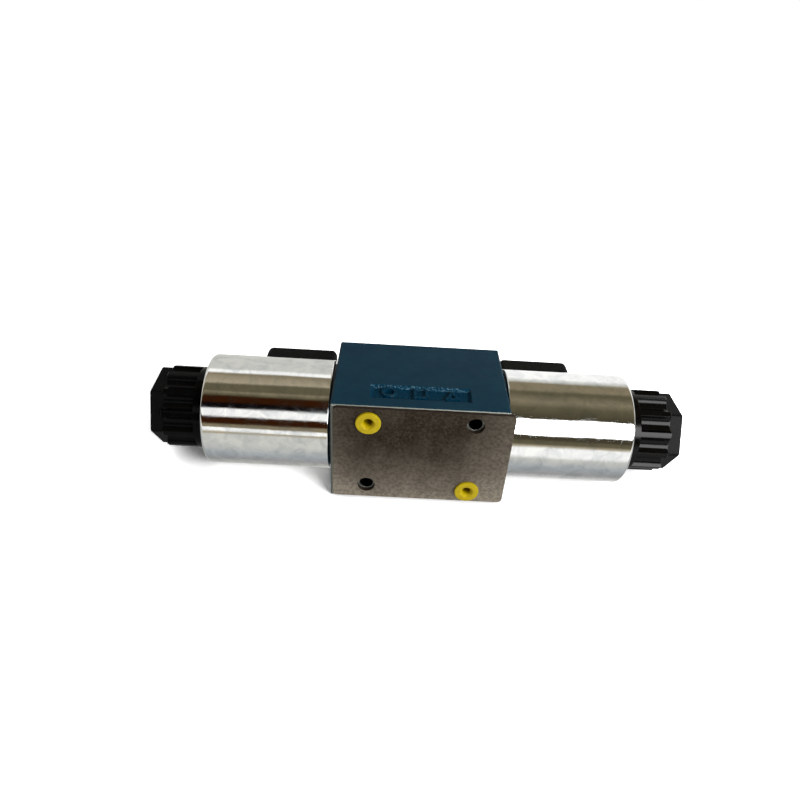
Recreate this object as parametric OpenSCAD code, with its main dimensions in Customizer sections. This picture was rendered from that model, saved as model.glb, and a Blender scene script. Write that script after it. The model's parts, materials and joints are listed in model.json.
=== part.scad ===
// Solenoid directional valve, size 6, four ports and three positions, two solenoids.
// All sizes are in millimetres.
// The origin is the middle of the mounting face, level with the spool.
// +X runs along the spool to solenoid a, -Y points out of the mounting face,
// and +Z is up while the valve lies on its side.

/* [Valve body] */
// Length of the body along the spool
body_len = 68; // [64:1:76]
// Depth of the body, from the mounting face to the name plate face
body_depth = 47.2; // [46:0.2:50]
// Height of the body between its two side faces
body_height = 45.5; // [45:0.5:50]
// Distance from the mounting face to the spool axis
axis_y = 25; // [25:0.5:26]
// Chamfer on the edges of the body
body_chamfer = 0.6; // [0.3:0.1:1]
// Depth of the marking recess in the upper side face
recess_depth = 1.2; // [0.6:0.1:1.6]

/* [Mounting pattern] */
// X of bolt hole F1, the corner that the standard pattern is measured from
f1_x = -19.5; // [-20:0.1:-19.2]
// Height of bolt hole F1 above the spool axis
f1_z = 16.2; // [15.9:0.1:16.4]
// Diameter of the bolt holes, for M5 screws
bolt_bore = 5.4; // [5.2:0.1:5.6]
// Diameter of the ports
port_bore = 7.5; // [6.5:0.5:7.5]

/* [Spool and springs] */
// Diameter of the spool
spool_d = 12; // [11.6:0.1:12.4]
// Travel of the spool each way from its middle position
stroke = 3; // [2.5:0.1:3.2]
// Length of a centring spring between its two seats
spring_len = 12.5; // [12:0.5:13]
// Wire diameter of the centring springs
spring_wire = 1.4; // [1:0.1:1.5]
// Mean diameter of the centring springs
spring_mean_d = 11.4; // [10.8:0.1:11.6]
// Number of turns in a centring spring
spring_turns = 5; // [4:1:6]

/* [Solenoids] */
// Outer diameter of the coil case
coil_d = 45.4; // [43:0.1:45.4]
// Length of the coil case
coil_len = 50.1; // [49:0.1:51]
// Outer diameter of the core tube
tube_d = 20; // [19.6:0.1:20.4]
// Diameter of the armature
armature_d = 16.8; // [16:0.1:16.8]
// Length of the armature
armature_len = 33; // [31:1:34]
// Diameter of the manual override pin
override_d = 5; // [4:0.2:5]

/* [Coil nuts] */
// Outer diameter of the fluted grip
grip_d = 34.1; // [33.4:0.1:36]
// Size across the flats of the hexagon
hex_flats = 28.2; // [27:0.2:29]
// Length of the whole nut
nut_len = 21.7; // [21:0.1:22.4]
// Length of the hexagon beyond the grip
hex_len = 5; // [4:0.5:8]
// Number of flutes in the grip
flute_count = 12; // [6:6:12]
// Turn of the nut on solenoid b, in degrees
nut_b_turn = -5; // [-30:1:30]

/* [Connector bases] */
// Width of the base along the spool axis
base_w = 31; // [28:0.5:31.5]
// Width of the base from side to side
base_side = 28; // [27:0.5:29]
// Distance from the mounting face to the top of the base
base_top = 53.6; // [52:0.2:55]
// Length of the contact blades above the base
blade_len = 6.5; // [5:0.5:9]

/* [Transport cover] */
// Length of the cover plate
plate_len = 68.8; // [62:0.1:70]
// Height of the cover plate
plate_height = 43.5; // [42:0.1:45]
// Thickness of the cover plate
plate_t = 1.5; // [1:0.1:2.5]
// Shift of the cover plate towards solenoid a
plate_shift = 1.5; // [0:0.1:1.5]
// Diameter of the head of a plug
plug_head_d = 9.7; // [9:0.1:11]
// Height of the head of a plug
plug_head_h = 1.1; // [1:0.1:2.5]

/* [Hidden] */
$fn = 72;
eps = 0.1;

// Gaps between pieces
fit_gap = 0.02;
touch_gap = 0.05;
loose_gap = 0.2;

// Standard size 03 pattern: offsets of the holes from F1, towards +X and down
BOLT_OFFSETS = [[0, 0], [40.5, -0.75], [40.5, 31.75], [0, 31]];
PORT_P = [21.5, 25.9];
PORT_T = [21.5, 5.1];
PORT_A = [12.7, 15.5];
PORT_B = [30.2, 15.5];
PORTS = [PORT_P, PORT_T, PORT_A, PORT_B];

// Galleries around the spool
gallery_d = 17;
work_x = 8.75;
tank_x = 17.5;
pressure_w = 5;
work_w = 4;
tank_w = 5;
overlap = 1.5;
neck_d = 7;
channel_z = [7, 12.5];
channel_y = [9, 14];
drop_d = 5;
drop_z = 6.3;

// Bolt holes
head_bore = 9.5;
head_depth = 6;

// O-rings of the ports
ring_seat_d = 12.4;
ring_seat_depth = 1.4;
ring_wire = 1.78;

// Stations along the spool axis, on the side of solenoid a
body_end = body_len / 2;
socket_depth = 9;
socket_d = tube_d + 2;
shoulder_x = body_end - socket_depth;
spool_half = shoulder_x + stroke;
seat_t = 1.5;
pocket_floor = spool_half + seat_t + spring_len;
pole_face = pocket_floor + 5;
armature_front = pole_face + stroke + 1;
armature_rear = armature_front + armature_len;
plug_face = armature_rear + stroke + 1;
tube_end = plug_face + 4;
coil_in = body_end + 1;
coil_out = coil_in + coil_len;
nut_in = coil_out + 0.3;
nut_out = nut_in + nut_len;
plug_end = nut_out - 3.7;
override_groove = [plug_end - 6, plug_end - 4];

// Radii of the solenoid pieces
tube_r = tube_d / 2;
tube_bore_r = armature_d / 2 + 0.1;
pocket_r = spring_mean_d / 2 + spring_wire / 2 + 1.1;
pin_r = 2;
coil_r = coil_d / 2;
case_wall = 2.6;
case_bore_r = coil_r - case_wall;
coil_bore_r = tube_r + 0.4;
end_wall = 3;
winding_r = case_bore_r - 1.7;
thread_pitch = 1.5;
thread_depth = 0.6;

// Nut and its seal
grip_r = grip_d / 2;
collar_len = 4;
flute_r = 3.6;
flute_depth = 2.4;
seal_w = 2;
seal_r = tube_r + 2.3;
nut_bore_r = tube_r + 0.25;
nut_window_r = 6;

// Connector base
base_x = coil_in + 1 + base_w / 2;
base_corner = 2.5;
foot_w = 20.8;
blade_w = 6.3;
blade_t = 0.8;
blade_offset = 9;
insert_d = 5;
screw_bore = 2.5;
screw_depth = 8;

// Transport cover
plate_hole = 6.9;
plate_corner = 1.8;
plug_shank_d = 5.3;
plug_shank_len = 4;
plug_bore_d = 4.6;
plug_lip_d = 3.4;
plug_flare_d = 5.2;
plug_flare_depth = 1;
plate_z = 0.65;
cover_front = -fit_gap - plate_t;

// Name plate
nameplate_size = [26, 36];
nameplate_t = 0.5;
nameplate_corner = 1.5;
rivet_z = 15.5;
rivet_d = 1.8;
rivet_head_d = 3;
rivet_len = 4;

// Marks in the recess: size of a mark and width of its raised strokes
recess_len = 39.2;
recess_y = [5.5, 15.1];
mark_h = 6;
mark_w = 5.6;
stroke_w = 1.1;
mark_x = 12.2;

// A point of the standard pattern as [x, z] of this frame
function pattern_point(offset) = [f1_x + offset[0], f1_z - offset[1]];

// Points of a round corner, about a centre, from one angle to another
function arc(centre, r, from, to, steps = 5) =
    [for (i = [0 : steps])
        let (turn = from + (to - from) * i / steps)
        centre + r * [cos(turn), sin(turn)]];

// Points of ring grooves that stand for a thread, as [x, r]
function thread_points(from, to, r) =
    [for (i = [0 : floor((to - from) / thread_pitch) - 1])
        each [[from + i * thread_pitch, r], [from + (i + 0.5) * thread_pitch, r - thread_depth]]];

// A solid turned about the spool axis from points given as [x, r]
module turned(points) {
    translate([0, axis_y, 0])
        rotate([0, 90, 0])
            rotate_extrude()
                polygon([for (p = points) [p[1], p[0]]]);
}

// A round bar along the spool axis
module bar(from, to, r) {
    translate([from, axis_y, 0])
        rotate([0, 90, 0])
            cylinder(h = to - from, r = r);
}

// A ring along the spool axis
module ring(from, to, inner_r, outer_r) {
    turned([[from, inner_r], [to, inner_r], [to, outer_r], [from, outer_r]]);
}

// A round hole or pin that runs from one y to another at a place on the faces
module drill(at, from, to, d) {
    translate([at[0], from, at[1]])
        rotate([-90, 0, 0])
            cylinder(h = to - from, d = d);
}

// A rectangle with equal chamfers, centred
module chamfered_rectangle(w, h, c) {
    polygon([
        [-w / 2 + c, -h / 2], [w / 2 - c, -h / 2], [w / 2, -h / 2 + c], [w / 2, h / 2 - c],
        [w / 2 - c, h / 2], [-w / 2 + c, h / 2], [-w / 2, h / 2 - c], [-w / 2, -h / 2 + c]
    ]);
}

// A centred block with every edge chamfered
module chamfered_block(x, y, z, c) {
    intersection() {
        translate([0, 0, -z / 2])
            linear_extrude(z)
                chamfered_rectangle(x, y, c);
        translate([0, y / 2, 0])
            rotate([90, 0, 0])
                linear_extrude(y)
                    chamfered_rectangle(x, z, c);
        translate([-x / 2, 0, 0])
            rotate([90, 0, 90])
                linear_extrude(x)
                    chamfered_rectangle(y, z, c);
    }
}

// A flat plate across Y with round corners, its near face at y
module rounded_plate(w, h, t, r, y) {
    for (x = [-1, 1], z = [-1, 1])
        drill([x * (w / 2 - r), z * (h / 2 - r)], y, y + t, 2 * r);
    translate([-w / 2, y, -h / 2 + r])
        cube([w, t, h - 2 * r]);
    translate([-w / 2 + r, y, -h / 2])
        cube([w - 2 * r, t, h]);
}

// The same piece at solenoid b: turned half round about the Y axis
module side_b() {
    rotate([0, 180, 0])
        children();
}

// ---------------------------------------------------------------- valve body

// The bore of the spool with the galleries around it
module spool_bore() {
    bar(-shoulder_x - eps, shoulder_x + eps, spool_d / 2 + fit_gap);
    bar(-pressure_w / 2, pressure_w / 2, gallery_d / 2);
    for (side = [-1, 1]) {
        bar(side * work_x - work_w / 2, side * work_x + work_w / 2, gallery_d / 2);
        bar(side * tank_x - tank_w / 2, side * tank_x + tank_w / 2, gallery_d / 2);
    }
}

// The channel that joins both tank galleries to the tank port
module tank_channel() {
    reach = tank_x + 2;
    translate([-reach, channel_y[0], channel_z[0]])
        cube([2 * reach, channel_y[1] - channel_y[0], channel_z[1] - channel_z[0]]);
    for (side = [-1, 1])
        drill([side * tank_x, drop_z], channel_y[0], axis_y - 3, drop_d);
}

// The ports from the mounting face, with the seats of their O-rings
module port_holes() {
    drill(pattern_point(PORT_P), -eps, axis_y - 3, port_bore);
    drill(pattern_point(PORT_T), -eps, channel_y[1], port_bore);
    drill(pattern_point(PORT_A), -eps, axis_y - 6.5, port_bore);
    drill(pattern_point(PORT_B), -eps, axis_y - 6.5, port_bore);
    for (port = PORTS)
        drill(pattern_point(port), -eps, ring_seat_depth, ring_seat_d);
}

// The four bolt holes, counterbored for screw heads
module bolt_holes() {
    for (offset = BOLT_OFFSETS) {
        drill(pattern_point(offset), -eps, body_depth + eps, bolt_bore);
        drill(pattern_point(offset), body_depth - head_depth, body_depth + eps, head_bore);
    }
}

// A groove with sloping walls, wide at its mouth. Two that cross make the marking recess.
module recess_groove(width, run) {
    linear_extrude(run, center = true)
        polygon([
            [-width / 2 - eps, recess_depth + eps],
            [-width / 2 + recess_depth, 0],
            [width / 2 - recess_depth, 0],
            [width / 2 + eps, recess_depth + eps]
        ]);
}

// The marking recess, with four sloping walls, its floor at z = 0
module marking_recess() {
    width = recess_y[1] - recess_y[0];
    intersection() {
        rotate([90, 0, 0])
            recess_groove(recess_len, 2 * width);
        rotate([90, 0, 90])
            recess_groove(width, 2 * recess_len);
    }
}

// The outline of a triangular mark
module mark_triangle() {
    polygon([[-mark_w / 2, -mark_h / 2], [mark_w / 2, -mark_h / 2], [0, mark_h / 2]]);
}

// Raised generic marks: a ring, an open tank and a triangle
module port_marks() {
    translate([-mark_x, 0, 0])
        linear_extrude(recess_depth)
            difference() {
                circle(d = mark_h);
                circle(d = mark_h - 2 * stroke_w);
            }
    for (side = [-1, 1])
        translate([side * (mark_w - stroke_w) / 2 - stroke_w / 2, -mark_h / 2, 0])
            cube([stroke_w, mark_h, recess_depth]);
    translate([-mark_w / 2, -mark_h / 2, 0])
        cube([mark_w, stroke_w, recess_depth]);
    translate([mark_x, 0, 0])
        linear_extrude(recess_depth)
            difference() {
                mark_triangle();
                offset(delta = -stroke_w)
                    mark_triangle();
            }
}

module valve_body() {
    top = body_height / 2;
    color("#203848")
        union() {
            difference() {
                translate([0, body_depth / 2, 0])
                    chamfered_block(body_len, body_depth, body_height, body_chamfer);
                spool_bore();
                for (turn = [0, 180])
                    rotate([0, turn, 0])
                        bar(shoulder_x, body_end + eps, socket_d / 2);
                tank_channel();
                port_holes();
                bolt_holes();
                for (side = [-1, 1])
                    drill([0, side * rivet_z], body_depth - rivet_len, body_depth + eps, rivet_d + touch_gap);
                translate([0, (recess_y[0] + recess_y[1]) / 2, top - recess_depth])
                    marking_recess();
            }
            translate([0, (recess_y[0] + recess_y[1]) / 2, top - recess_depth - eps])
                port_marks();
        }
}

module port_o_rings() {
    mean_r = (ring_seat_d - ring_wire) / 2 - fit_gap;
    squeezed = ring_seat_depth - fit_gap;
    color("#141414")
        for (port = PORTS)
            translate([pattern_point(port)[0], 0, pattern_point(port)[1]])
                rotate([-90, 0, 0])
                    intersection() {
                        translate([0, 0, squeezed / 2])
                            rotate_extrude()
                                translate([mean_r, 0])
                                    circle(d = ring_wire, $fn = 24);
                        cylinder(h = squeezed, r = 2 * mean_r);
                    }
}

module nameplate() {
    color("#b9bcc0")
        difference() {
            rounded_plate(nameplate_size[0], nameplate_size[1], nameplate_t, nameplate_corner,
                body_depth + fit_gap);
            for (side = [-1, 1])
                drill([0, side * rivet_z], body_depth - eps, body_depth + 2, rivet_d + touch_gap);
        }
}

module nameplate_rivets() {
    top = body_depth + fit_gap + nameplate_t;
    color("#8e9196")
        for (side = [-1, 1]) {
            drill([0, side * rivet_z], body_depth - rivet_len + touch_gap, top + 0.3, rivet_d);
            drill([0, side * rivet_z], top, top + 0.6, rivet_head_d);
        }
}

// ----------------------------------------------------------- transport cover

module transport_plate() {
    color("#5f5549")
        difference() {
            translate([plate_shift, 0, plate_z])
                rounded_plate(plate_len, plate_height, plate_t, plate_corner, cover_front);
            for (offset = BOLT_OFFSETS)
                drill(pattern_point(offset), cover_front - eps, eps, plate_hole);
        }
}

// Two push-in plugs that hold the plate on, in holes F1 and F3: thin hollow shanks behind a lip
module transport_plugs() {
    reach = plate_t + plug_shank_len;
    color("#d2b400")
        for (offset = [BOLT_OFFSETS[0], BOLT_OFFSETS[2]])
            translate([pattern_point(offset)[0], cover_front, pattern_point(offset)[1]])
                rotate([-90, 0, 0])
                    rotate_extrude()
                        polygon([
                            [plug_flare_d / 2, -plug_head_h],
                            [plug_head_d / 2 - 0.5, -plug_head_h],
                            [plug_head_d / 2, -plug_head_h + 0.5],
                            [plug_head_d / 2, 0],
                            [plug_shank_d / 2, 0],
                            [plug_shank_d / 2, reach - 0.6],
                            [plug_shank_d / 2 - 0.2, reach],
                            [plug_bore_d / 2, reach],
                            [plug_bore_d / 2, plate_t],
                            [plug_lip_d / 2, plate_t],
                            [plug_lip_d / 2, -plug_head_h + plug_flare_depth]
                        ]);
}

// --------------------------------------------------------- spool and springs

// Half of the outline of the spool, from its middle to its end, as [x, r]
function spool_outline() = [
    [0, 0],
    [0, neck_d / 2],
    [work_x - work_w / 2 - overlap, neck_d / 2],
    [work_x - work_w / 2 - overlap, spool_d / 2],
    [work_x - 0.3, spool_d / 2],
    [work_x - 0.3, spool_d / 2 - 0.4],
    [work_x + 0.3, spool_d / 2 - 0.4],
    [work_x + 0.3, spool_d / 2],
    [work_x + work_w / 2 + overlap, spool_d / 2],
    [work_x + work_w / 2 + overlap, neck_d / 2],
    [tank_x + tank_w / 2, neck_d / 2],
    [tank_x + tank_w / 2, spool_d / 2],
    [spool_half - 0.5, spool_d / 2],
    [spool_half, spool_d / 2 - 0.5],
    [spool_half, 0]
];

module spool() {
    color("#9aa0a6")
        union() {
            turned(spool_outline());
            mirror([1, 0, 0])
                turned(spool_outline());
        }
}

module spring_seat() {
    color("#7f868c")
        union() {
            ring(spool_half + fit_gap, spool_half + seat_t, pin_r + 0.3, pocket_r - 0.3);
            ring(spool_half + fit_gap, spool_half + seat_t + 2, pin_r + 0.3,
                (spring_mean_d - spring_wire) / 2 - 0.3);
        }
}

// Centre line of the spring at a share of its length: closed ends, even pitch between
function spring_x(share) =
    let (
        from = spool_half + seat_t + spring_wire / 2 + touch_gap,
        to = pocket_floor - spring_wire / 2 - touch_gap,
        closed = 1 / spring_turns,
        dead = spring_wire * 0.9,
        middle = to - from - 2 * dead
    )
    share < closed ? from + dead * share / closed
    : share > 1 - closed ? to - dead * (1 - share) / closed
    : from + dead + middle * (share - closed) / (1 - 2 * closed);

// A coil spring swept around the spool axis
module return_spring() {
    wire_sides = 8;
    steps = 24 * spring_turns;
    points = [
        for (i = [0 : steps], j = [0 : wire_sides - 1])
            let (
                turn = 360 * spring_turns * i / steps,
                around = 360 * j / wire_sides,
                r = spring_mean_d / 2 + spring_wire / 2 * cos(around)
            )
            [spring_x(i / steps) + spring_wire / 2 * sin(around), axis_y + r * sin(turn), r * cos(turn)]
    ];
    sides = [
        for (i = [0 : steps - 1], j = [0 : wire_sides - 1])
            let (
                a = i * wire_sides + j,
                b = i * wire_sides + (j + 1) % wire_sides
            )
            [a, b, b + wire_sides, a + wire_sides]
    ];
    first = [for (j = [wire_sides - 1 : -1 : 0]) j];
    last = [for (j = [0 : wire_sides - 1]) steps * wire_sides + j];
    color("#5d6166")
        polyhedron(points, concat([first], sides, [last]), convexity = 6);
}

// ----------------------------------------------------------------- core tube

module pole_piece() {
    start = shoulder_x + 0.5;
    thread_r = socket_d / 2 - 0.15;
    groove = [body_end - 3.2, body_end - 1];
    color("#8b9096")
        turned(concat(
            [[start, pocket_r]],
            thread_points(start, groove[0] - 0.5, thread_r),
            [
                [groove[0], thread_r],
                [groove[0], thread_r - 1.6],
                [groove[1], thread_r - 1.6],
                [groove[1], thread_r],
                [body_end, thread_r],
                [body_end, tube_r],
                [body_end + 2, tube_r],
                [body_end + 2, tube_bore_r - touch_gap],
                [pole_face, tube_bore_r - touch_gap],
                [pole_face, pin_r + 0.15],
                [pocket_floor, pin_r + 0.15],
                [pocket_floor, pocket_r]
            ]
        ));
}

module tube_seal() {
    color("#181818")
        ring(body_end - 3.15, body_end - 1.05, socket_d / 2 - 1.7, socket_d / 2 - touch_gap);
}

module pole_shim() {
    color("#c9a84c")
        ring(pole_face + fit_gap, pole_face + 0.3, pin_r + 0.3, tube_bore_r - 0.4);
}

module core_tube() {
    color("#a8adb2")
        ring(body_end + 2 + fit_gap, tube_end, tube_bore_r, tube_r);
}

module tube_end_plug() {
    hole_r = override_d / 2 + 0.1;
    collar_room_r = override_d / 2 + 1.8;
    collar_room_end = plug_face + stroke + 0.5;
    color("#9ea3a8")
        turned(concat(
            [
                [plug_face, collar_room_r],
                [plug_face, tube_bore_r - touch_gap],
                [tube_end + fit_gap, tube_bore_r - touch_gap]
            ],
            thread_points(tube_end + fit_gap, plug_end - 1, tube_r),
            [
                [plug_end - 0.6, tube_r],
                [plug_end, tube_r - 0.6],
                [plug_end, hole_r],
                [override_groove[1], hole_r],
                [override_groove[1], hole_r + 1.6],
                [override_groove[0], hole_r + 1.6],
                [override_groove[0], hole_r],
                [collar_room_end, hole_r],
                [collar_room_end, collar_room_r]
            ]
        ));
}

module override_seal() {
    color("#181818")
        ring(override_groove[0] + touch_gap, override_groove[1] - touch_gap,
            override_d / 2 + touch_gap, override_d / 2 + 1.65);
}

module push_pin() {
    color("#b4b8bc")
        turned([
            [spool_half + touch_gap, 0],
            [spool_half + touch_gap, pin_r - 0.4],
            [spool_half + touch_gap + 0.4, pin_r],
            [armature_front + 3, pin_r],
            [armature_front + 3, 0]
        ]);
}

module armature() {
    r = armature_d / 2;
    color("#84898e")
        difference() {
            turned([
                [armature_front, 0],
                [armature_front, r - 0.6],
                [armature_front + 0.6, r],
                [armature_rear - 0.6, r],
                [armature_rear, r - 0.6],
                [armature_rear, 0]
            ]);
            bar(armature_front - eps, armature_front + 3 + fit_gap, pin_r + fit_gap);
            for (side = [-1, 1])
                translate([0, 0, side * r])
                    bar(armature_front - eps, armature_rear + eps, 1.2);
        }
}

module override_pin() {
    r = override_d / 2;
    collar = [armature_rear + 2, armature_rear + 4];
    color("#b4b8bc")
        turned([
            [armature_rear + touch_gap, 0],
            [armature_rear + touch_gap, r],
            [collar[0], r],
            [collar[0], r + 1.4],
            [collar[1], r + 1.4],
            [collar[1], r],
            [plug_end - 0.5, r],
            [plug_end, r - 0.5],
            [plug_end, 0]
        ]);
}

// ---------------------------------------------------------------------- coil

module coil_case() {
    edge = 1.3;
    color("#d7d9db")
        difference() {
            turned(concat(
                [
                    [coil_in, case_bore_r],
                    [coil_in, coil_r - 0.4],
                    [coil_in + 0.4, coil_r]
                ],
                arc([coil_out - edge, coil_r - edge], edge, 90, 0),
                [
                    [coil_out, coil_bore_r],
                    [coil_out - end_wall, coil_bore_r],
                    [coil_out - end_wall, case_bore_r]
                ]
            ));
            translate([base_x - foot_w / 2 - loose_gap, axis_y, -foot_w / 2 - loose_gap])
                cube([foot_w + 2 * loose_gap, coil_r + eps, foot_w + 2 * loose_gap]);
        }
}

module coil_end_disc() {
    color("#7c8085")
        ring(coil_in + touch_gap, coil_in + end_wall, coil_bore_r, case_bore_r - touch_gap);
}

module coil_bobbin() {
    from = coil_in + end_wall + touch_gap;
    to = coil_out - end_wall - touch_gap;
    flange = 1.5;
    core_r = coil_bore_r + 1;
    color("#2b2b2b")
        turned([
            [from, coil_bore_r],
            [to, coil_bore_r],
            [to, case_bore_r - 0.5],
            [to - flange, case_bore_r - 0.5],
            [to - flange, core_r],
            [from + flange, core_r],
            [from + flange, case_bore_r - 0.5],
            [from, case_bore_r - 0.5]
        ]);
}

module coil_winding() {
    color("#b06a35")
        ring(coil_in + end_wall + 1.7, coil_out - end_wall - 1.7, coil_bore_r + 1 + touch_gap, winding_r);
}

module coil_seal() {
    color("#161616")
        ring(body_end + touch_gap, coil_in - touch_gap, coil_r - 4.3, coil_r - 1.5);
}

// Slot for a contact blade at a place on the base, or the blade itself
module blade(at, across_x, from, to, gap) {
    w = across_x ? blade_w : blade_t;
    h = across_x ? blade_t : blade_w;
    translate([at[0] - w / 2 - gap, from, at[1] - h / 2 - gap])
        cube([w + 2 * gap, to - from, h + 2 * gap]);
}

// The two live blades stand on both sides of the screw, the earth blade below it
module blades(from, to, gap) {
    for (side = [-1, 1])
        blade([base_x + side * blade_offset, 0], false, from, to, gap);
    blade([base_x, -blade_offset], true, from, to, gap);
}

module connector_base() {
    foot_bottom = axis_y + winding_r + 0.4;
    saddle_bottom = axis_y + 15;
    color("#1e1e1b")
        difference() {
            union() {
                difference() {
                    intersection() {
                        translate([base_x, 0, 0])
                            rounded_plate(base_w, base_side, base_top - saddle_bottom, base_corner,
                                saddle_bottom);
                        base_side_profile(saddle_bottom);
                    }
                    bar(coil_in - 1, coil_out, coil_r + touch_gap);
                }
                translate([base_x - foot_w / 2, foot_bottom, -foot_w / 2])
                    cube([foot_w, base_top - 2 - foot_bottom, foot_w]);
            }
            blades(foot_bottom - 1, base_top + 1, touch_gap);
            drill([base_x, 0], base_top - screw_depth, base_top + eps, insert_d);
        }
}

// Threaded brass insert for the screw that holds the plug on
module screw_insert() {
    color("#c2a24a")
        difference() {
            drill([base_x, 0], base_top - screw_depth + fit_gap, base_top, insert_d - 2 * fit_gap);
            drill([base_x, 0], base_top - screw_depth, base_top + eps, screw_bore);
        }
}

// Outline of the base seen from the side face: its two outer edges are round
module base_side_profile(bottom) {
    half = base_w / 2;
    translate([base_x, 0, -base_side / 2])
        linear_extrude(base_side)
            polygon(concat(
                [[-half, bottom], [half, bottom]],
                arc([half - base_corner, base_top - base_corner], base_corner, 0, 90),
                arc([-half + base_corner, base_top - base_corner], base_corner, 90, 180)
            ));
}

module contact_blades() {
    color("#c8cacc")
        blades(axis_y + winding_r + 0.5, base_top + blade_len, 0);
}

// ------------------------------------------------------------------ coil nut

module nut_seal() {
    color("#181818")
        ring(coil_out + touch_gap, coil_out + seal_w, tube_r + 0.3, seal_r - 0.1);
}

// The fluted grip, from the plain collar beside the coil to the hexagon.
// Its ridges stand at the corners and at the middles of the flats.
module grip() {
    grip_end = nut_out - hex_len;
    edge = 0.8;
    difference() {
        turned([
            [nut_in, 0],
            [nut_in, grip_r - edge],
            [nut_in + edge, grip_r],
            [grip_end - edge, grip_r],
            [grip_end, grip_r - edge],
            [grip_end, 0]
        ]);
        for (i = [0 : flute_count - 1])
            translate([nut_in + collar_len, axis_y, 0])
                rotate([(i + 0.5) * 360 / flute_count, 0, 0])
                    translate([0, grip_r + flute_r - flute_depth, 0])
                        rotate([0, 90, 0])
                            cylinder(h = nut_len, r = flute_r);
    }
}

module hexagon() {
    corner_r = hex_flats / 2 / cos(30);
    edge = 0.8;
    start = nut_out - hex_len - 2;
    intersection() {
        translate([start, axis_y, 0])
            rotate([0, 90, 0])
                rotate([0, 0, 30])
                    cylinder(h = nut_out - start, r = corner_r, $fn = 6);
        turned([
            [nut_in, 0],
            [nut_in, corner_r + eps],
            [nut_out - edge, corner_r + eps],
            [nut_out, corner_r - edge],
            [nut_out, 0]
        ]);
    }
}

module coil_nut() {
    color("#1b1c1c")
        difference() {
            union() {
                grip();
                hexagon();
            }
            bar(nut_in - eps, plug_end + 0.4, nut_bore_r);
            bar(nut_in - eps, coil_out + seal_w + touch_gap, seal_r);
            bar(nut_in, nut_out + eps, nut_window_r);
        }
}

// The nut of solenoid b stopped at another angle when it was tightened
module turned_nut() {
    translate([0, axis_y, 0])
        rotate([nut_b_turn, 0, 0])
            translate([0, -axis_y, 0])
                children();
}

// --------------------------------------------------------------- every piece

valve_body();
port_o_rings();
transport_plate();
transport_plugs();
nameplate();
nameplate_rivets();
spool();

spring_seat();  // spring_seat_a
return_spring();  // return_spring_a
pole_piece();  // pole_piece_a
pole_shim();  // pole_shim_a
core_tube();  // core_tube_a
tube_end_plug();  // tube_end_plug_a
tube_seal();  // tube_seal_a
push_pin();  // push_pin_a
armature();  // armature_a
override_pin();  // override_pin_a
override_seal();  // override_seal_a
coil_case();  // coil_case_a
coil_winding();  // coil_winding_a
coil_bobbin();  // coil_bobbin_a
coil_end_disc();  // coil_end_disc_a
connector_base();  // connector_base_a
screw_insert();  // screw_insert_a
contact_blades();  // contact_blades_a
coil_seal();  // coil_seal_a
nut_seal();  // nut_seal_a
coil_nut();  // coil_nut_a

side_b() spring_seat();  // spring_seat_b
side_b() return_spring();  // return_spring_b
side_b() pole_piece();  // pole_piece_b
side_b() pole_shim();  // pole_shim_b
side_b() core_tube();  // core_tube_b
side_b() tube_end_plug();  // tube_end_plug_b
side_b() tube_seal();  // tube_seal_b
side_b() push_pin();  // push_pin_b
side_b() armature();  // armature_b
side_b() override_pin();  // override_pin_b
side_b() override_seal();  // override_seal_b
side_b() coil_case();  // coil_case_b
side_b() coil_winding();  // coil_winding_b
side_b() coil_bobbin();  // coil_bobbin_b
side_b() coil_end_disc();  // coil_end_disc_b
side_b() connector_base();  // connector_base_b
side_b() screw_insert();  // screw_insert_b
side_b() contact_blades();  // contact_blades_b
side_b() coil_seal();  // coil_seal_b
side_b() nut_seal();  // nut_seal_b
side_b() turned_nut() coil_nut();  // coil_nut_b
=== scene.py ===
"""The looks of a solenoid directional valve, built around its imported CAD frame. Metres throughout."""
import json
import math

import bpy
from mathutils import Matrix, Vector


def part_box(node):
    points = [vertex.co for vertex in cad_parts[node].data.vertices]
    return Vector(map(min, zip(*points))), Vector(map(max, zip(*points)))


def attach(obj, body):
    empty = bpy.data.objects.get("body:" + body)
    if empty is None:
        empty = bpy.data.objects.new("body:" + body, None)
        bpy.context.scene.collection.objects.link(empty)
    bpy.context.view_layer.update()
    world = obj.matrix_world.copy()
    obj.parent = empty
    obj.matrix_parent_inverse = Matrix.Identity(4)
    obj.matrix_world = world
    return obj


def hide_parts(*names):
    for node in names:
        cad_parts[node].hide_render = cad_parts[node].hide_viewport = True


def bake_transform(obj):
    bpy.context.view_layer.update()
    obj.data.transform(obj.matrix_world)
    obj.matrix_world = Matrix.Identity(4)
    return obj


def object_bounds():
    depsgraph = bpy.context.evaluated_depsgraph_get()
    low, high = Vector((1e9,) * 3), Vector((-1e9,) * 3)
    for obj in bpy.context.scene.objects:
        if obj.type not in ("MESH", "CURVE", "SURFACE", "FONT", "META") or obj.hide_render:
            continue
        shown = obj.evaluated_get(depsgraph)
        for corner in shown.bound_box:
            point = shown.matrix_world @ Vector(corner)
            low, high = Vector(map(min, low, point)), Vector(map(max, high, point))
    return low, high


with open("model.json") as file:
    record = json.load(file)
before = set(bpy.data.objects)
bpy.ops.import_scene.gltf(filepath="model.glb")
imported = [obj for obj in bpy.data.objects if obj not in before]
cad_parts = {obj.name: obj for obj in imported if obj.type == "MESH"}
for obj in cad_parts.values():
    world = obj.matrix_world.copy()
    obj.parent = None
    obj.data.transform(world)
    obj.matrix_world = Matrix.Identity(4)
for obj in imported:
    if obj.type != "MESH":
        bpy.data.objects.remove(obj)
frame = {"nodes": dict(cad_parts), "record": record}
cad_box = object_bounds()
scene = bpy.context.scene

MM = 0.001
SIDES = {"a": 1, "b": -1}

# ------------------------------------------------------------------ sizes from the frame


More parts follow.
